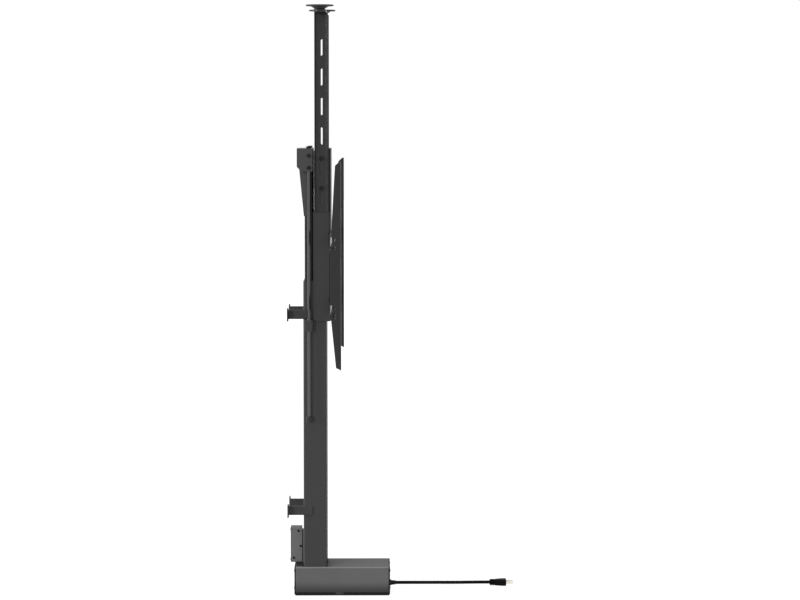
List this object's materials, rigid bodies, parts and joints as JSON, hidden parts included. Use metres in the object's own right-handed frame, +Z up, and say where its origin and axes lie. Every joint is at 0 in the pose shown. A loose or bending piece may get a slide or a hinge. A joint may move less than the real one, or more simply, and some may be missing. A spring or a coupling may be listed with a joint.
{
  "type": "tv lift mechanism",
  "caption": "Two-stage motorised screen lift: base with drive, telescoping column, carriage with screen arms, and a slotted lid frame with round pads on top.",
  "frame": {"origin": "middle of the base's underside, on the floor", "axes": "+X faces the screen, +Y is to the right seen from the screen's side, +Z is up"},
  "size_m": [0.499, 0.64, 1.282],
  "materials": {
    "column_paint": "satin powder coat",
    "base_paint": "satin powder coat",
    "black_paint": "satin powder coat",
    "zinc_steel": "zinc plated",
    "black_steel": "black oxide",
    "bronze": "machined",
    "nylon": "natural",
    "rubber": "matte",
    "cable_jacket": "satin",
    "blade_metal": "nickel plated",
    "grey_plastic": "fine texture",
    "motor_finish": "satin",
    "board": "solder mask"
  },
  "bodies": {
    "frame": {"base_plate": "black_paint", "base_housing": "base_paint", "base_end_caps": "black_paint", "base_mat": "rubber", "housing_screws": "zinc_steel", "column": "column_paint", "mast_guides": "nylon", "fixed_rack": "zinc_steel", "bearing_plate": "column_paint", "screw_bearing": "zinc_steel", "gearbox": "motor_finish", "drive_motor": "motor_finish", "power_board": "board", "upper_wall_bracket": "black_paint", "lower_wall_bracket": "black_paint", "guide_blocks": "column_paint", "guide_bushes": "nylon", "control_box": "grey_plastic", "control_box_cover": "grey_plastic", "control_box_screws": "black_steel", "receiver_board": "board", "cable_grommet": "rubber", "strain_relief": "rubber", "power_cord": "cable_jacket", "cord_plug": "cable_jacket", "plug_blades": "blade_metal"},
    "lead_screw": {"lead_screw": "zinc_steel", "screw_coupler": "zinc_steel"},
    "mast": {"mast": "black_paint", "drive_nut": "bronze", "head_bracket": "column_paint", "head_bolts": "black_steel", "guide_rods": "black_paint", "rod_stops": "black_steel", "pinion_axle": "zinc_steel", "pinion_clip": "zinc_steel", "mast_rail": "zinc_steel"},
    "sync_pinion": {"sync_pinion": "bronze"},
    "carriage": {"carriage": "column_paint", "front_plate": "column_paint", "carriage_rack": "zinc_steel", "carriage_shoes": "nylon", "side_glides": "nylon", "upper_shoe": "nylon", "shoe_bracket": "column_paint", "upper_rail": "black_paint", "lower_rail": "black_paint", "rail_screws": "black_steel", "lid_bar_screws": "black_steel"},
    "lid_frame": {"left_lid_bar": "black_paint", "right_lid_bar": "black_paint", "lid_crossbar": "black_paint", "lid_pads": "rubber"},
    "left_arm": {"left_arm": "black_paint", "left_arm_lock": "black_steel"},
    "right_arm": {"right_arm": "black_paint", "right_arm_lock": "black_steel"}
  },
  "joints": [
    {"name": "mast_slide", "type": "slide", "parent": "frame", "child": "mast", "axis": [0, 0, 1], "range_m": [-0.22, 0]},
    {"name": "carriage_slide", "type": "slide", "parent": "mast", "child": "carriage", "axis": [0, 0, 1], "range_m": [-0.22, 0]},
    {"name": "pinion_spin", "type": "hinge", "parent": "mast", "child": "sync_pinion", "pos_m": [-0.0542, 0, 0.64], "axis": [1, 0, 0], "range_deg": [0, 701]},
    {"name": "screw_spin", "type": "hinge", "parent": "frame", "child": "lead_screw", "pos_m": [-0.07175, 0, 0.1], "axis": [0, 0, 1], "range_deg": [0, 9902]},
    {"name": "lid_frame_slide", "type": "slide", "parent": "carriage", "child": "lid_frame", "axis": [0, 0, 1], "range_m": [0, 0.03]},
    {"name": "left_arm_slide", "type": "slide", "parent": "carriage", "child": "left_arm", "axis": [0, 1, 0], "range_m": [0, 0.2]},
    {"name": "right_arm_slide", "type": "slide", "parent": "carriage", "child": "right_arm", "axis": [0, 1, 0], "range_m": [-0.2, 0]}
  ],
  "couplings": [
    {"joint": "carriage_slide", "follows": "mast_slide", "ratio": 1},
    {"joint": "pinion_spin", "follows": "mast_slide", "rad_per_m": -55.556},
    {"joint": "screw_spin", "follows": "mast_slide", "rad_per_m": -785.4}
  ]
}
